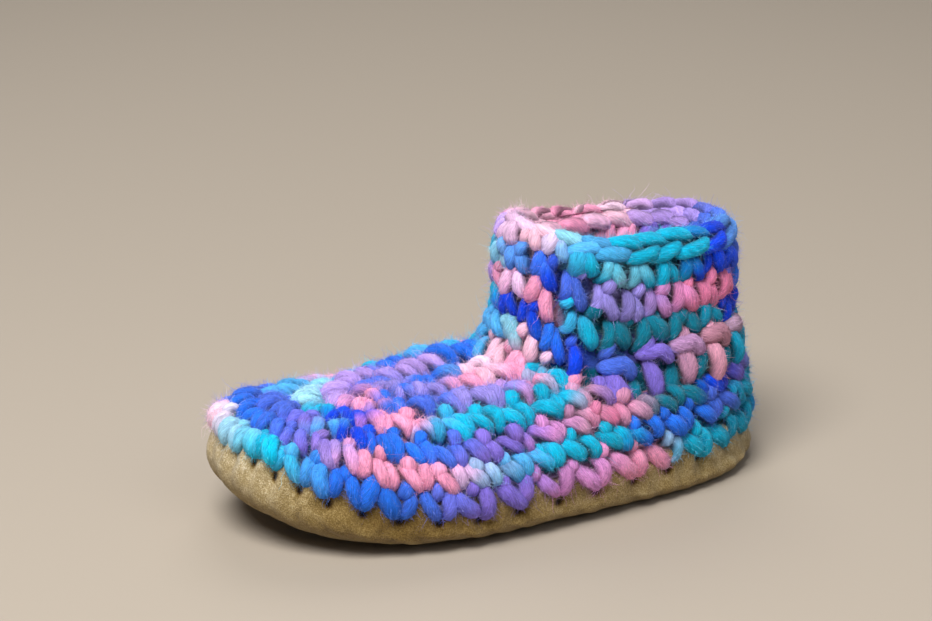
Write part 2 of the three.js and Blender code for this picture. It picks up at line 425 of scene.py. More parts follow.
def crowded(share, crowd):
    # even shares of a round, drawn together at the toe
    slow, fast = crowd
    turn = share - slow / (2 * np.pi) * np.sin(2 * np.pi * share)
    return turn - fast / (4 * np.pi) * np.sin(4 * np.pi * share)


def uprightness(skin, place, turn, step=0.003, part=0.05):
    # how far round a stitch has to go for each place it climbs, to stand square to the loops
    up = (skin.at(place + part, turn)[0] - skin.at(place - part, turn)[0]) / (2 * part)
    around = (skin.at(place, turn + step)[0] - skin.at(place, turn - step)[0]) / (2 * step)
    return -(up * around).sum(-1) / (around * around).sum(-1)


def stitchNumbers(row):
    # the stitches of a round, or those within the reach of a row that stops short
    count = row["count"]
    number = np.arange(count) + row["phase"]
    if "reach" in row:
        low, high = row["reach"]
        number = number[((number / count - low) % 1) <= (high - low) % 1 + tiny]
    return number


def layStitches(strands, row):
    skin, count, number = row["skin"], row["count"], stitchNumbers(row)
    each, steps = (len(number), 1), stitch["steps"]
    for leg in row.get("parts", ("left", "right", "dot")):
        if leg == "dot" and not row.get("dots", True):
            continue
        guide = stitch[leg]
        sideways, height, proud, radius = curveThrough(guide, np.linspace(0, len(guide) - 1, steps)).T
        across = (sideways + row.get("lean", 0) * height) * row.get("wide", 1)
        if leg == "right":
            across = across + row.get("open", 0) * (height + stitch["openFrom"])
        across = across + stitch["legWander"] * rng.standard_normal(each)
        across = across + stitch["legWander"] * rng.standard_normal(each) * np.linspace(-1, 1, steps)
        rise = height * (1 + stitch["heightWander"] * rng.standard_normal(each))
        rise = rise + stitch["heightWander"] * rng.standard_normal(each)
        out = proud * row.get("relief", 1) + stitch["outWander"] * rng.standard_normal(each)
        if leg == "dot":
            out = out - row.get("sunk", 0)
        plump = row.get("plump", 1)
        thick = radius * plump * (1 + stitch["thickWander"] * rng.standard_normal(each))
        turn = crowded((number[:, None] + across) / count, row.get("crowd", (0, 0)))
        rise = rise * row["tall"](turn)
        place = row["middle"](turn)
        turn = turn + rise * uprightness(skin, place, turn)
        point, facing = skin.at(place + rise, turn)
        sign = row.get("facing", 1)
        depth = row.get("depth", level(0))(turn)
        path = point + facing * (sign * out + depth)[..., None]
        if "keep" in row:
            keep = row["keep"](path[:, steps // 2])
            path, facing, thick, turn = path[keep], facing[keep], thick[keep], turn[keep]
        words = row["under"] if leg in ("dot", "bit") else row["dyes"]
        colour = dyeAt(words, turn + stitch["lag"][leg] / count)
        colour = colour * (1 + stitch["shade"] * rng.standard_normal((len(path), 1, 1)))
        # painted shade: the dye darkens towards both ends of each part
        paintedEndLight = np.sin(np.pi * np.linspace(0, 1, steps)) ** 0.5
        colour = colour * (stitch["paintedEndShade"] + (1 - stitch["paintedEndShade"]) * paintedEndLight)[:, None]
        strands.lay(path, facing * sign, thick, colour)


# The ankle opening, seen from above, where the rounds of the foot stop
ankle = {"place": 0.75, "margin": 1.5, "blunt": 2.2}
ankleLoop = cuffSkin.points[int(ankle["place"] * cuffSkin.fine)]


def outsideAnkle(points, margin=ankle["margin"]):
    low, high = ankleLoop.min(0), ankleLoop.max(0)
    middle, half = (low[0] + high[0]) / 2, (high[0] - low[0]) / 2
    u = np.abs(points[:, 0] - middle) / (half - margin)
    v = np.abs(points[:, 1]) / (high[1] - margin)
    return u ** lastShape["blunt"] + v ** ankle["blunt"] > 1


footDyes = {
    1: "0.0 ice 0.027 turquoise 0.065 sky 0.086 blue 0.158 iris 0.186 violet 0.248 orchid 0.309 pink "
       "0.362 turquoise 0.405 teal 0.47 blue 0.54 violet 0.61 pink 0.68 sky 0.76 turquoise 0.84 violet "
       "0.91 blue 0.965 shell",
    2: "0.0 blue 0.03 iris 0.055 violet 0.08 lilac 0.099 pink 0.185 powder 0.215 sky 0.245 turquoise "
       "0.322 blue 0.40 iris 0.43 teal 0.50 turquoise 0.57 sky 0.64 violet 0.72 pink 0.80 royal 0.88 iris "
       "0.96 blue",
    3: "0.0 iris 0.03 violet 0.05 sky 0.068 royal 0.10 blue 0.155 iris 0.18 violet 0.233 orchid 0.262 mauve "
       "0.285 rose 0.31 mauve 0.335 sea 0.39 royal 0.43 violet 0.47 teal 0.57 turquoise 0.66 blue "
       "0.74 violet 0.82 pink 0.90 sky 0.96 iris",
    4: "0.0 turquoise 0.03 royal 0.074 pink 0.128 sky 0.15 turquoise 0.262 mauve 0.285 violet 0.36 shell "
       "0.425 teal 0.52 blue 0.60 violet 0.70 pink 0.78 turquoise 0.86 sky 0.92 ice",
    5: "0.0 lilac 0.02 pink 0.06 blue 0.09 iris 0.14 heather 0.215 pink 0.24 turquoise 0.28 pink 0.40 blue "
       "0.72 turquoise 0.80 sky 0.86 blue 0.91 lilac",
    6: "0.0 pink 0.03 blue 0.07 heather 0.12 lilac 0.135 pink 0.17 shell 0.19 pink 0.30 sky 0.70 turquoise "
       "0.79 blue 0.86 lilac 0.94 iris",
    7: "0.0 heather 0.05 blue 0.10 cornflower 0.14 shell 0.30 pink 0.70 turquoise 0.80 blue 0.86 royal "
       "0.93 heather",
}
# the rounds of the foot from the sole up; from the fifth on they close the vamp
vampStitch = {"relief": 1.5, "wide": 0.86}
footRows = [
    {"count": 38, "phase": 0.22, "crowd": (0.27, 0.146), "parts": ("left", "gather"), "plump": 1.13,
     "depth": level(-0.4), "tall": climb((0, 1.3), (0.1, 1.0), (0.14, 0.8), (0.5, 0.95)),
     "middle": climb((0, 0.92), (0.076, 0.85), (0.1, 0.72), (0.12, 0.6), (0.28, 0.57), (0.37, 0.63),
                     (0.5, 0.7))},
    {"count": 38, "phase": -0.15, "crowd": (0.22, -0.04),
     "depth": level(-0.8), "tall": climb((0, 1.25), (0.1, 1.1), (0.14, 1.0), (0.5, 1.0)),
     "middle": climb((0, 2.1), (0.05, 2.05), (0.08, 1.9), (0.11, 1.65), (0.14, 1.42), (0.2, 1.38),
                     (0.25, 1.5), (0.33, 1.66), (0.5, 1.68))},
    {"count": 38, "phase": -0.12, "crowd": (0.10, 0.03), "tall": level(1.1),
     "depth": goRound((0, -0.8), (0.8, -0.8), (0.86, -2.6), (0.94, -2.6), (1, -0.8)),
     "middle": climb((0, 3.15), (0.07, 3.05), (0.11, 2.72), (0.14, 2.42), (0.165, 2.28), (0.2, 2.3),
                     (0.24, 2.55), (0.28, 2.78), (0.5, 2.7))},
    {"count": 38, "phase": 0.18, "crowd": (0.05, 0.0), "reach": (-0.3, 0.3), "tall": level(1.15),
     "depth": goRound((0, -2.2), (0.1, -1.2), (0.14, 0.3), (0.18, 1.0), (0.28, 1.0), (0.7, 0.6),
                      (0.79, 0.4), (0.84, -1.2), (0.89, -3.2), (0.94, -3.4), (1, -2.2)),
     "middle": climb((0, 4.3), (0.06, 4.2), (0.1, 3.9), (0.15, 3.5), (0.175, 3.42), (0.2, 3.5),
                     (0.24, 3.85), (0.28, 4.0))},
    {**vampStitch, "count": 30, "phase": 0.2, "tall": level(1.15), "plump": 1.12, "sunk": 0.8,
     "depth": goRound((0, -2.4), (0.08, -1.0), (0.13, 1.4), (0.18, 2.5), (0.25, 3.2), (0.75, 2.4),
                      (0.82, 1.8), (0.87, 0.6), (0.92, -1.0), (1, -2.4)),
     "middle": climb((0, 5.3), (0.1, 4.95), (0.16, 4.7), (0.19, 4.75), (0.25, 4.9), (0.5, 4.9))},
    {**vampStitch, "count": 23, "phase": 0.6, "tall": level(1.15), "plump": 1.14, "sunk": 0.8,
     "depth": goRound((0, -2.0), (0.08, -0.3), (0.14, 2.4), (0.2, 3.9), (0.3, 4.8), (0.7, 3.6),
                      (0.8, 2.6), (0.86, 1.4), (0.92, -0.5), (1, -2.0)),
     "middle": climb((0, 6.2), (0.16, 5.9), (0.5, 5.9))},
    {**vampStitch, "count": 17, "phase": 0.1, "tall": level(1.1), "plump": 1.14, "reach": (-0.02, 0.5),
     "depth": climb((0, -1.8), (0.1, 0.8), (0.2, 3.6), (0.3, 4.8)), "middle": level(6.85)},
]
cuffDyes = {
    "step": "0.0 shell 0.05 pink 0.085 turquoise 0.88 sky",
    "instep": "0.0 sky 0.02 frost 0.05 shell 0.12 pink 0.88 sky",
    "hidden": "0.0 sea 0.5 teal",
    "legs": "0.0 violet 0.28 mauve 0.325 dusk 0.375 teal 0.46 violet 0.55 blue 0.70 violet 0.85 turquoise",
    "ankle": "0.0 royal 0.075 blue 0.11 royal 0.30 iris 0.88 turquoise 0.985 royal",
    "loops": "0.0 royal 0.15 iris 0.22 violet 0.285 lilac 0.30 mauve 0.335 dusk 0.42 teal 0.55 blue "
             "0.70 violet 0.85 turquoise",
    "low": "0.0 pink 0.02 blush 0.05 pink 0.105 sky 0.135 turquoise 0.165 sea 0.33 teal 0.39 royal "
           "0.50 violet 0.62 sky 0.78 turquoise 0.90 lilac 0.97 pink",
    "mid": "0.0 ice 0.015 cornflower 0.075 royal 0.115 iris 0.15 heather 0.26 orchid 0.305 rose 0.42 blue "
           "0.50 royal 0.58 violet 0.70 pink 0.84 turquoise 0.98 ice",
    "top": "0.0 blush 0.03 shell 0.09 powder 0.105 sky 0.135 turquoise 0.185 frost 0.232 turquoise "
           "0.276 teal 0.322 royal 0.42 iris 0.52 violet 0.66 pink 0.92 lilac 0.985 blush",
    "rim": "0.0 blush 0.05 shell 0.09 frost 0.13 sky 0.19 turquoise 0.335 royal 0.40 cornflower 0.47 iris "
           "0.53 lilac 0.66 shell 0.74 pink 0.83 shell 0.93 lilac 0.97 blush",
}
# what every row of the cuff has unless it says otherwise, and how deep its stitches lie on the inside
cuffStitch = {"depth": level(-0.8), "lean": 0.3, "wide": 1.2, "open": 0.17, "plump": 0.95}
cuffInside = {"facing": -1, "depth": level(-6.4), "dots": False}
# below names the dyes of the round underneath, which show between the stitches
cuffRows = [
    {"name": "step", "below": "step", "count": 24, "phase": 0.8, "reach": (-0.12, 0.12), "tall": level(0.9),
     "dots": False, "middle": climb((0, 0.75), (0.05, 0.7), (0.12, 0.3))},
    {"name": "legs", "below": "hidden", "count": 20, "phase": 0.0, "reach": (0.18, 0.82), "tall": level(1.2),
     "depth": level(-0.3), "plump": 1.1, "parts": ("post", "bit"), "lean": 0, "wide": 1,
     "middle": climb((0, 0.25), (0.2, 0.25), (0.26, 0.35), (0.3, 0.6), (0.36, 0.75), (0.5, 0.7))},
    {"name": "instep", "below": "step", "count": 24, "phase": 0.3, "reach": (-0.09, 0.09),
     "tall": level(0.85), "middle": climb((0, 1.6), (0.03, 1.7), (0.06, 1.4), (0.09, 0.9))},
    {"name": "ankle", "below": "instep", "count": 24, "phase": 0.8, "reach": (-0.135, 0.135),
     "tall": level(0.9), "middle": climb((0, 2.35), (0.03, 2.5), (0.06, 2.15), (0.09, 1.75), (0.14, 1.0))},
    {"name": "low", "below": "loops", "count": 18, "phase": 0.83, "tall": level(1.0), "plump": 1.12,
     "wide": 1.0,
     "middle": climb((0, 3.0), (0.04, 3.2), (0.07, 3.1), (0.095, 2.75), (0.13, 2.2), (0.16, 1.95),
                     (0.21, 1.9), (0.3, 2.05), (0.5, 2.15))},
    {"name": "mid", "below": "low", "count": 22, "phase": 0.07, "tall": level(1.0), "plump": 1.06,
     "middle": climb((0, 3.85), (0.04, 4.05), (0.08, 4.0), (0.1, 3.7), (0.14, 3.3), (0.19, 2.85),
                     (0.24, 2.75), (0.3, 2.85), (0.5, 3.0))},
    {"name": "top", "below": "mid", "count": 22, "phase": 0.42, "plump": 1.05,
     "tall": climb((0, 1.75), (0.09, 1.65), (0.14, 1.25), (0.2, 1.1), (0.5, 1.1)),
     "middle": climb((0, 5.3), (0.05, 5.5), (0.09, 5.3), (0.12, 4.7), (0.16, 4.3), (0.21, 3.9),
                     (0.25, 3.75), (0.35, 3.8), (0.5, 3.9))},
]

# Yarn look: the dye with its painted shade along the strand, drawn fibres and soft depth
woolGrain = {"fibreStretch": (0.4, 4.2, 4.2), "fibreDetail": (3.0, 0.6), "tuftStretch": (0.30, 0.6, 0.6),
             "fibreShare": 0.7, "tuftShare": 0.3, "tuftHeight": 0.5, "rough": 0.86, "roughRange": 0.1,
             "tones": ((0.34, (0.58, 0.56, 0.62)), (0.5, (1.0, 1.0, 1.0)), (0.66, (1.42, 1.42, 1.40)))}
yarnLook = Look("wool", **{"Sheen Weight": 0.08, "Sheen Roughness": 0.5, "Specular IOR Level": 0.08})
strandAt = yarnLook.attribute("strand", "Vector")
fibre = yarnLook.noise(yarnLook.stretch(strandAt, woolGrain["fibreStretch"]), 1.0, *woolGrain["fibreDetail"])
tuft = yarnLook.noise(yarnLook.stretch(strandAt, woolGrain["tuftStretch"]), 1.0)
drawn = fibre * woolGrain["fibreShare"] + tuft * woolGrain["tuftShare"]
woolColour = yarnLook.multiply(yarnLook.attribute("dye", "Color"), yarnLook.ramp(drawn, *woolGrain["tones"]))
woolRough = woolGrain["rough"] + fibre * woolGrain["roughRange"]
yarnLook.finish(woolColour, woolRough, fibre + tuft * woolGrain["tuftHeight"])

footYarn, vampYarn, cuffYarn = Strands(), Strands(), Strands()
firstVamp, firstCut = 5, 4  # the first round of the vamp, and the first that the ankle cuts
for number, row in enumerate(footRows, 1):
    row.update(skin=footSkin, dyes=footDyes[number], under=footDyes[max(1, number - 1)])
    if number >= firstCut:
        row["keep"] = outsideAnkle
    layStitches(footYarn if number < firstVamp else vampYarn, row)
for row in cuffRows:
    dressed = {**cuffStitch, **row, "skin": cuffSkin,
               "dyes": cuffDyes[row["name"]], "under": cuffDyes[row["below"]]}
    layStitches(cuffYarn, dressed)
    if "reach" not in row:
        layStitches(cuffYarn, {**dressed, **cuffInside})

# Strands that lie along a round: the chain on the rim and the loops left at the ankle
slanted = {"steps": 11, "droopFrom": 0.1, "taper": 0.78, "acrossWander": 0.05, "slantWander": 0.2,
           "riseWander": 0.04, "outWander": 0.3, "thickWander": 0.07}


def laySlanted(strands, row):
    count, number, steps = row["count"], stitchNumbers(row), slanted["steps"]
    each = (len(number), 1)
    t = np.linspace(-1, 1, steps)
    across = t * row["length"] / 2 + slanted["acrossWander"] * rng.standard_normal(each)
    rise = row["slant"] * t * (1 + slanted["slantWander"] * rng.standard_normal(each))
    rise = rise + slanted["riseWander"] * rng.standard_normal(each)
    rise = rise - row.get("droop", 0) * smooth(slanted["droopFrom"], 1, t)
    turn = (number[:, None] + across) / count
    point, facing = cuffSkin.at(row["middle"](turn) + rise, turn)
    out = row["out"] - row["dive"] * np.abs(t) ** 3 + slanted["outWander"] * rng.standard_normal(each)
    thick = row["radius"] * np.sqrt(1 - slanted["taper"] * t ** 4)
    thick = thick * (1 + slanted["thickWander"] * rng.standard_normal(each))
    colour = dyeAt(row["dyes"], turn[:, steps // 2]) * (1 + stitch["shade"] * rng.standard_normal(each))
    path = point + facing * out[..., None]
    path[..., 2] -= row.get("sink", level(0))(turn)
    facing = facing * row.get("facing", 1) + np.array([0, 0, row.get("upward", 0)])
    strands.lay(path, facing, thick, np.repeat(colour[:, None], steps, 1))


# the rim sinks a little on the far side; its rows are the chain outside, on top, inside, and the row below
farSink = goRound((0, 0), (0.56, 0), (0.68, 2.0), (0.8, 2.2), (0.93, 0), (1, 0))
rimRows = [
    {"phase": 0.1, "slant": 0.3, "length": 1.4, "out": 0.2, "dive": 2.4, "radius": 2.35,
     "reach": (0.12, 0.88),
     "middle": climb((0, 5.5), (0.1, 5.5), (0.16, 5.3), (0.21, 4.85), (0.26, 4.7), (0.35, 4.75),
                     (0.5, 4.9))},
    {"phase": 0.45, "slant": -0.25, "length": 1.5, "out": -0.3, "dive": 2.0, "radius": 2.5, "upward": 1.5,
     "sink": farSink,
     "middle": goRound((0, 6.7), (0.1, 6.5), (0.15, 5.8), (0.45, 5.9), (0.56, 5.8), (0.66, 5.25),
                       (0.8, 5.2), (0.92, 6.1), (1, 6.7))},
    {"phase": 0.8, "slant": -0.1, "length": 1.5, "out": -3.8, "dive": 2.0, "radius": 2.5, "upward": 1.8,
     "facing": -1, "sink": farSink,
     "middle": goRound((0, 6.4), (0.12, 6.3), (0.2, 6.0), (0.54, 6.0), (0.66, 5.35), (0.8, 5.35),
                       (0.93, 6.1), (1, 6.4))},
    {"phase": 0.3, "slant": 0.35, "length": 1.2, "out": -7.2, "dive": -1.5, "radius": 2.5, "facing": -1,
     "middle": goRound((0, 5.2), (0.54, 5.0), (0.66, 4.5), (0.82, 4.5), (0.93, 5.0), (1, 5.2))},
]
ankleLoops = {"count": 18, "phase": 0.5, "slant": 0.0, "droop": 0.45, "reach": (0.17, 0.83), "length": 1.0,
              "out": 0.4, "dive": 2.6, "radius": 2.75,
              "middle": climb((0, 1.0), (0.19, 1.08), (0.257, 1.3), (0.31, 1.45), (0.36, 1.52), (0.5, 1.5))}
for row in rimRows:
    laySlanted(cuffYarn, {"dyes": cuffDyes["rim"], "count": 22, **row})
laySlanted(cuffYarn, {"dyes": cuffDyes["loops"], **ankleLoops})

rounds = footYarn.piece("foot_rounds", yarnLook)
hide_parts("upper")
vampYarn.piece("vamp_rounds", yarnLook)
cuffYarn.piece("cuff_rounds", yarnLook)
print("stitches laid")

# Wool behind the stitches, so that no daylight shows between them: two layers, raised under the vamp, their
# dye darkened as painted shade in the gaps
backing = {"depths": (-3.0, -5.2), "shade": 0.46,
           "dome": 3.0, "domePlaces": (4.2, 5.4), "domeTurns": (0.06, 0.18),
           "footPlaces": (0.7, 7.01, 0.15), "footColumns": 180, "holeMargin": 3, "holeAbove": 26,
           "cuffPlaces": (-0.3, 5.71, 0.15), "cuffColumns": 120}
cuffBackDyes = ("hidden", "loops", "low", "mid", "top", "rim")


def layBacking(name, skin, places, columns, words, dome=0, keep=None):
    places, turn = np.arange(*places), np.arange(columns) / columns
    place, around = np.meshgrid(places, turn, indexing="ij")
    # painted shade: each round's dye, darkened to stand for the shade between the stitches
    colour = np.array([dyeAt(words(p), turn) for p in places]) * backing["shade"]
    point, facing = skin.at(place, around)
    swell = dome * smooth(*backing["domePlaces"], place) * smooth(*backing["domeTurns"], fromFront(around))
    layers = [(point + facing * (depth + swell)[..., None]).reshape(-1, 3) for depth in backing["depths"]]
    outer, inner = (gridQuads(len(places), columns, n * place.size) for n in (0, 1))
    points, faces = np.concatenate(layers), np.concatenate([outer, inner[:, ::-1]])
    if keep:
        faces = faces[keep(points[faces].mean(1))]
    dye = opaque(np.tile(colour.reshape(-1, 3), (2, 1)))
    noTriangles = np.zeros((0, 3), int)
    piece = meshPiece(name, points, faces, noTriangles, yarnLook, {"dye": dye, "strand": points})


def besideAnkle(middle):
    return outsideAnkle(middle, backing["holeMargin"]) | (middle[:, 2] < backing["holeAbove"])


layBacking("foot_backing", footSkin, backing["footPlaces"], backing["footColumns"],
           lambda p: footDyes[min(len(footDyes), int(p) + 1)], backing["dome"], besideAnkle)
layBacking("cuff_backing", cuffSkin, backing["cuffPlaces"], backing["cuffColumns"],
           lambda p: cuffDyes[cuffBackDyes[min(len(cuffBackDyes) - 1, max(0, int(p)))]])

# Suede sole: turned up all round, puckered between the holes, with a nap. Lengths are in millimetres.
suede = {"holes": 38, "perHole": 14, "phase": 0.335, "crowd": (0.27, 0.146), "pitch": 11.5, "loopStep": 7,
         "holePlace": climb((0, 4.5), (0.03, 4.4), (0.055, 4.22), (0.085, 4.1), (0.5, 4.08)),
         "tabPlace": 4.75, "holeSize": (1.25, 1.4), "tabSize": (1.7, 2.4), "dent": 1.0, "tab": 1.4,
         "thick": 2.6, "pucker": 0.3, "lift": 0.7, "puckered": (2.4, 4.0),
         "flatPlaces": (0, 2.5, 14), "sidePlaces": (2.6, 5, 34),
         "waves": 14, "waveCounts": (9, 60), "waveHigh": 0.10, "waveDrift": 2, "wavy": (0.6, 2),
         "middleX": -10, "innerStep": 4}
# how light the suede is painted: underneath, along its turned-up side, which painted shade darkens towards
# the floor, at its edge from heel to toe, where painted light and shade vary it along the length, and
# inside; the holes get painted shade, and darker tones are made warmer
suedeTone = {"tread": 0.85, "paintedLowShade": 0.56, "inside": 0.8, "treadEnds": (0.1, 1.2), "paintedLowShadeEnds": (1.0, 4.1),
             "paintedLightAlong": ((-85, 1), (-60, 0.8), (-43, 0.66), (-30, 0.75), (0, 0.64), (26, 0.46), (43, 0.38),
                       (57, 0.4), (70, 0.58), (82, 1)),
             "paintedHoleShade": 0.95, "holeSharp": 1.6, "warmth": (1.1, 1.4, 2.4)}


def suedeShade(point, place, hole):
    # painted light and shade along the length: lighter at the toe and heel, darker along the middle, and
    # painted shade darker towards the floor
    paintedLightAlong = np.interp(point[..., 0], *np.array(suedeTone["paintedLightAlong"]).T)
    side = suedeTone["paintedLowShade"] + (paintedLightAlong - suedeTone["paintedLowShade"]) * smooth(*suedeTone["paintedLowShadeEnds"], place)
    side = suedeTone["tread"] + (side - suedeTone["tread"]) * smooth(*suedeTone["treadEnds"], place)
    # painted shade: the suede is darkened in each hole
    return side * (1 - suedeTone["paintedHoleShade"] * np.clip(suedeTone["holeSharp"] * hole, 0, 1))


def makeSole():
    columns = suede["holes"] * suede["perHole"]
    share = np.arange(columns) / columns
    turn = crowded(share, suede["crowd"])
    phase = share * suede["holes"] - suede["phase"]
    places = np.concatenate([np.linspace(*suede["flatPlaces"]), np.linspace(*suede["sidePlaces"])])
    place, around = np.meshgrid(places, turn, indexing="ij")
    near = np.cos(2 * np.pi * phase)[None]
    point, facing = soleSkin.at(place, around)
    band = smooth(*suede["puckered"], place)
    wave = np.zeros_like(place)
    for _ in range(suede["waves"]):
        count, start = rng.integers(*suede["waveCounts"]), rng.random()
        drift = rng.uniform(-suede["waveDrift"], suede["waveDrift"])
        wave += suede["waveHigh"] * np.sin(2 * np.pi * (count * around + start) + drift * place)
    beside = (phase - np.round(phase)) * suede["pitch"]

    def spot(middle, size):
        return np.exp(-(beside / size[0]) ** 2 - ((place - middle) * suede["loopStep"] / size[1]) ** 2)
    hole = spot(suede["holePlace"](around), suede["holeSize"])
    tab = spot(suede["tabPlace"], suede["tabSize"])
    out = band * (-suede["pucker"] * near) + wave * smooth(*suede["wavy"], place)
    out = out - suede["dent"] * hole + suede["tab"] * tab
    point = point + facing * out[..., None]
    point[..., 2] += band * suede["lift"] * (-near)
    point[..., 2] = np.maximum(point[..., 2], 0)
    back = -suede["innerStep"]
    inner, innerOut = soleSkin.at(place[::back], around[::back])
    inner = inner - innerOut * suede["thick"]
    middle = np.array([[suede["middleX"], 0, 0], [suede["middleX"], 0, suede["thick"]]])
    rows = len(places) + len(inner)
    points = np.concatenate([point.reshape(-1, 3), inner.reshape(-1, 3), middle])
    inside = np.full(inner[..., 0].size + len(middle), suedeTone["inside"])
    tone = np.concatenate([suedeShade(point, place, hole).ravel(), inside])
    tone = opaque(np.stack([tone ** power for power in suedeTone["warmth"]], -1))
    return points, gridQuads(rows, columns), closingFans(rows, columns), tone


suedeLook = Look("suede", **{"Sheen Weight": 0.2, "Sheen Roughness": 0.5, "Specular IOR Level": 0.15})
suedeGrain = {"nap": (2600.0, 3.0, 0.6), "cloud": (320.0, 4.0, 0.6), "napShare": 0.65, "cloudShare": 0.35,
              "tones": ((0.33, linear("7f6d46")), (0.5, linear("b4a178")), (0.67, linear("ebdfc6"))),
              "rough": 0.92, "roughRange": 0.06}
suedeAt = suedeLook.objectPlace()
nap = suedeLook.noise(suedeAt, *suedeGrain["nap"])
cloud = suedeLook.noise(suedeAt, *suedeGrain["cloud"])
worn = nap * suedeGrain["napShare"] + cloud * suedeGrain["cloudShare"]
napTone = suedeLook.ramp(worn, *suedeGrain["tones"])
suedeColour = suedeLook.multiply(napTone, suedeLook.attribute("shade", "Color"))
suedeLook.finish(suedeColour, suedeGrain["rough"] + nap * suedeGrain["roughRange"], nap + cloud)
*solePoints, soleTone = makeSole()
sole = meshPiece("suede_sole", *solePoints, suedeLook, {"shade": soleTone})
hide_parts("sole")
print("sole turned up")

# Felt insole: a soft pad on the floor of the sole, in millimetres
felt = {"edge": 0.55, "under": 3.1, "thick": 3.5, "soft": 1.4, "crown": 0.5, "level": 0.7,
        "columns": 160, "roundSteps": 6, "spine": (-45, 35),
        "underShares": (0.02, 0.5, 0.85), "topShares": (0.9, 0.75, 0.5, 0.25, 0.02)}


def makeInsole():
    columns, soft, thick = felt["columns"], felt["soft"], felt["thick"]
    rim, out = soleSkin.at(np.full(columns, felt["edge"]), np.arange(columns) / columns)
    rim = rim - out * felt["under"]
    spine = np.stack([np.clip(rim[:, 0], *felt["spine"]), np.zeros(columns), rim[:, 2]], -1)
    quarter = np.linspace(0, np.pi / 2, felt["roundSteps"])
    inset, rise = soft * (1 - np.cos(quarter)), soft * np.sin(quarter)
    # share of the way from the spine to the rim, how far in from there, and height
    profile = [(share, 0, 0) for share in felt["underShares"]]
    profile += [(1, i, soft - u) for i, u in zip(inset[::-1], rise[::-1])]
    profile += [(1, i, thick - soft + u) for i, u in zip(inset, rise)]
    profile += [(share, 0, thick + felt["crown"] * (1 - share ** 2)) for share in felt["topShares"]]
    toMiddle = spine - rim
    toMiddle /= np.linalg.norm(toMiddle, axis=1, keepdims=True)
    rings = []
    for share, inward, height in profile:
        ring = spine + (rim - spine) * share + toMiddle * inward
        ring[:, 2] = felt["under"] + (rim[:, 2] - felt["under"]) * smooth(felt["level"], 1, share) + height
        rings.append(ring)
    points = np.concatenate([*rings, [rings[0].mean(0), rings[-1].mean(0)]])
    return points, gridQuads(len(rings), columns), closingFans(len(rings), columns)


feltLook = Look("felt", **{"Sheen Weight": 0.2, "Sheen Roughness": 0.5, "Specular IOR Level": 0.15})
feltGrain = {"mat": (700.0, 5.0, 0.65), "tones": ((0.3, linear("a89b84")), (0.7, linear("dcd2bd"))),
             "rough": 0.94, "roughRange": 0.05}
mat = feltLook.noise(feltLook.objectPlace(), *feltGrain["mat"])
feltTone = feltLook.ramp(mat, *feltGrain["tones"])
feltLook.finish(feltTone, feltGrain["rough"] + mat * feltGrain["roughRange"], mat)
insole = meshPiece("felt_insole", *makeInsole(), feltLook, {})
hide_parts("insole")
print("insole laid")

# Halo of loose fibres: how many short and long hairs, and how long the long ones are
haloPieces = {
    "foot_fibres": (footYarn, 125000, 14500, 0.33), "vamp_fibres": (vampYarn, 68000, 9000, 0.33),
    "cuff_fibres": (cuffYarn, 120000, 15500, 0.33), "foot_wisps": (footYarn, 0, 9000, 0.5),
    "vamp_wisps": (vampYarn, 0, 5000, 0.5), "cuff_wisps": (cuffYarn, 0, 9000, 0.5),
}
# widths and lengths in millimetres, and how the hairs lean, fade, curl and vary in tone, and how much
# painted highlight whitens them
halo = {"shortWide": 0.09, "shortForm": (2.8, 0.5), "shortRange": (0.4, 3.0),
        "longWide": 0.055, "longForm": 3.0, "longRange": (0.3, 2.4), "curl": 0.55, "tapers": (0.85, 0.6, 0),
        "stand": (0.15, 1.1), "lean": 0.8, "stray": 0.3, "paintedHighlight": 0.10, "tone": (0.05, 0.28)}
hairGrain = {"wisp": 900.0, "tones": ((0.3, (0.8, 0.8, 0.8)), (0.7, (1.15, 1.15, 1.15))),
             "rough": 0.8, "roughRange": 0.1}
hairLook = Look("wool_fibre", **{"Sheen Weight": 0.08, "Specular IOR Level": 0.15})
wisp = hairLook.noise(hairLook.objectPlace(), hairGrain["wisp"])
hairColour = hairLook.multiply(hairLook.attribute("dye", "Color"), hairLook.ramp(wisp, *hairGrain["tones"]))
hairRough = hairGrain["rough"] + wisp * hairGrain["roughRange"]
hairLook.feed(hairLook.shader, {"Base Color": hairColour, "Roughness": hairRough})


def fibreRoots(strands, count):
    # points picked evenly along the yarn, but not on its ends, with the way out, the way along and the dye
    # with its painted shade
    lengths = [np.linalg.norm(np.diff(part[0], axis=1), axis=3).mean(2)[:, 1:-1] for part in strands.parts]
    totals = np.array([length.sum() for length in lengths])
    chosen = np.bincount(rng.choice(len(totals), count, p=totals / totals.sum()), minlength=len(totals))
    picked = []
    for many, length, (rings, _, dye, spoke, ahead) in zip(chosen, lengths, strands.parts):
        flat = rng.choice(length.size, many, p=length.ravel() / length.sum())
        s, i = flat // length.shape[1], flat % length.shape[1] + 1
        k = rng.integers(0, rings.shape[2], many)
        slide = rng.random((many, 1))
        root = rings[s, i, k] * (1 - slide) + rings[s, i + 1, k] * slide
        picked.append((root, spoke[s, i, k], ahead[s, i], dye[s, i, k]))
    return [np.concatenate(column) for column in zip(*picked)]


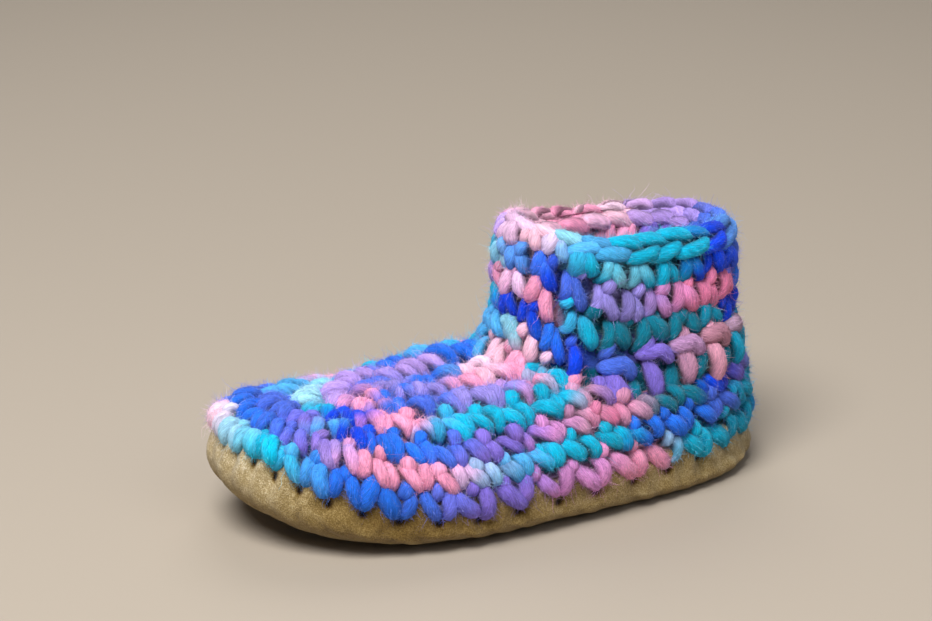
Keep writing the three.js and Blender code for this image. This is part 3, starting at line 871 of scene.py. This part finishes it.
def layHalo(name, strands, short, long, size):
    root, stand, run, dye = fibreRoots(strands, short + long)
    each = (len(root), 1)
    order = rng.permutation(len(root))
    # painted highlight: each hair's dye is mixed with a random share of white
    paintedHighlight = np.abs(rng.normal(0, halo["paintedHighlight"], each))
    dye = (dye * np.exp(rng.normal(*halo["tone"], each))) * (1 - paintedHighlight) + paintedHighlight
    root, stand, run, dye = root[order], stand[order], run[order], dye[order]
    lead = stand * rng.uniform(*halo["stand"], each) + run * rng.normal(0, halo["lean"], each)
    lead = unit(lead + rng.normal(0, halo["stray"], root.shape))
    side = unit(np.cross(lead, rng.standard_normal(root.shape)))
    # a short hair is one triangle
    length = rng.gamma(*halo["shortForm"], (short, 1)).clip(*halo["shortRange"])
    wide, spot = side[:short] * halo["shortWide"] / 2, root[:short]
    fine = np.stack([spot - wide, spot + wide, spot + length * lead[:short]], 1)
    # a long one curls in three steps: two quads and a point
    reach = rng.gamma(halo["longForm"], size, (long, 1)).clip(*halo["longRange"])
    wide, spot, way = side[short:] * halo["longWide"] / 2, root[short:], lead[short:]
    loose = [spot - wide, spot + wide]
    for taper in halo["tapers"]:
        spot = spot + reach * way
        way = unit(way + rng.normal(0, halo["curl"], way.shape))
        loose += [spot + taper * wide, spot - taper * wide] if taper else [spot]
    points = np.concatenate([fine.reshape(-1, 3), np.stack(loose, 1).reshape(-1, 3)])
    dye = np.concatenate([np.repeat(dye[:short], 3, 0), np.repeat(dye[short:], len(loose), 0)])
    base = 3 * short + np.arange(long)[:, None] * len(loose)
    quads = np.concatenate([base + np.array([0, 1, 2, 3]), base + np.array([3, 2, 4, 5])])
    triangles = np.concatenate([np.arange(3 * short).reshape(-1, 3), base + np.array([5, 4, 6])])
    piece = meshPiece(name, points, quads, triangles, hairLook, {"dye": opaque(np.clip(dye, 0, 1))})


for name, hairs in haloPieces.items():
    layHalo(name, *hairs)
print("fibres laid")

# Floor, light and camera
stage = {"half": 4, "under": 0.0003, "lampAim": (0, 0, 0.04),
         "skyColour": (0.9, 0.92, 0.95, 1), "skyStrength": 0.13}
floorMesh = bpy.data.meshes.new("floor")
square = ((-1, -1), (1, -1), (1, 1), (-1, 1))
corners = [(x * stage["half"], y * stage["half"], -stage["under"]) for x, y in square]
floorMesh.from_pydata(corners, [], [(0, 1, 2, 3)])
floor = bpy.data.objects.new("floor", floorMesh)
bpy.context.scene.collection.objects.link(floor)
floorPaint = {"Base Color": (0.39, 0.34, 0.285, 1), "Roughness": 0.95, "Specular IOR Level": 0.1}
floorMesh.materials.append(Look("pale_floor", **floorPaint).material)

# the camera's aim and distance are in millimetres, its focal length in pixels of the photograph
camera = {"azimuth": 27.18, "elevation": 18.85, "distance": 760.25, "aim": (10.62, 0, 56.93), "focal": 2600,
          "photoWide": 932, "sensor": 36, "clip": (0.01, 50)}
turned, raised = math.radians(camera["azimuth"]), math.radians(camera["elevation"])
back = Vector((math.sin(turned) * math.cos(raised), math.cos(turned) * math.cos(raised), math.sin(raised)))
eye = bpy.data.objects.new("camera", bpy.data.cameras.new("camera"))
eye.data.sensor_width = camera["sensor"]
eye.data.lens = camera["focal"] / camera["photoWide"] * camera["sensor"]
eye.data.clip_start, eye.data.clip_end = camera["clip"]
eye.location = (Vector(camera["aim"]) + back * camera["distance"]) * mm
eye.rotation_euler = back.to_track_quat("Z", "Y").to_euler()
bpy.context.scene.collection.objects.link(eye)
bpy.context.scene.camera = eye

# place, size, power and colour of each soft light
lights = {
    "key": ((0.52, 0.42, 1.1), 0.7, 22, (1.0, 0.98, 0.95)),
    "fill": ((-0.1, 1.1, 0.95), 0.9, 3.6, (0.97, 0.98, 1.0)),
    "rim": ((-0.3, -0.7, 1.0), 0.8, 5.0, (1.0, 0.98, 0.95)),
}
for name, (place, size, power, colour) in lights.items():
    light = bpy.data.lights.new(name, "AREA")
    light.shape, light.size, light.energy, light.color = "DISK", size, power, colour
    lamp = bpy.data.objects.new(name, light)
    lamp.location = place
    lamp.rotation_euler = (Vector(place) - Vector(stage["lampAim"])).to_track_quat("Z", "Y").to_euler()
    bpy.context.scene.collection.objects.link(lamp)
bpy.context.scene.view_settings.view_transform = "Standard"
world = bpy.data.worlds.new("studio")
bpy.context.scene.world = world
world.use_nodes = True
sky = world.node_tree.nodes["Background"].inputs
sky["Color"].default_value = stage["skyColour"]
sky["Strength"].default_value = stage["skyStrength"]
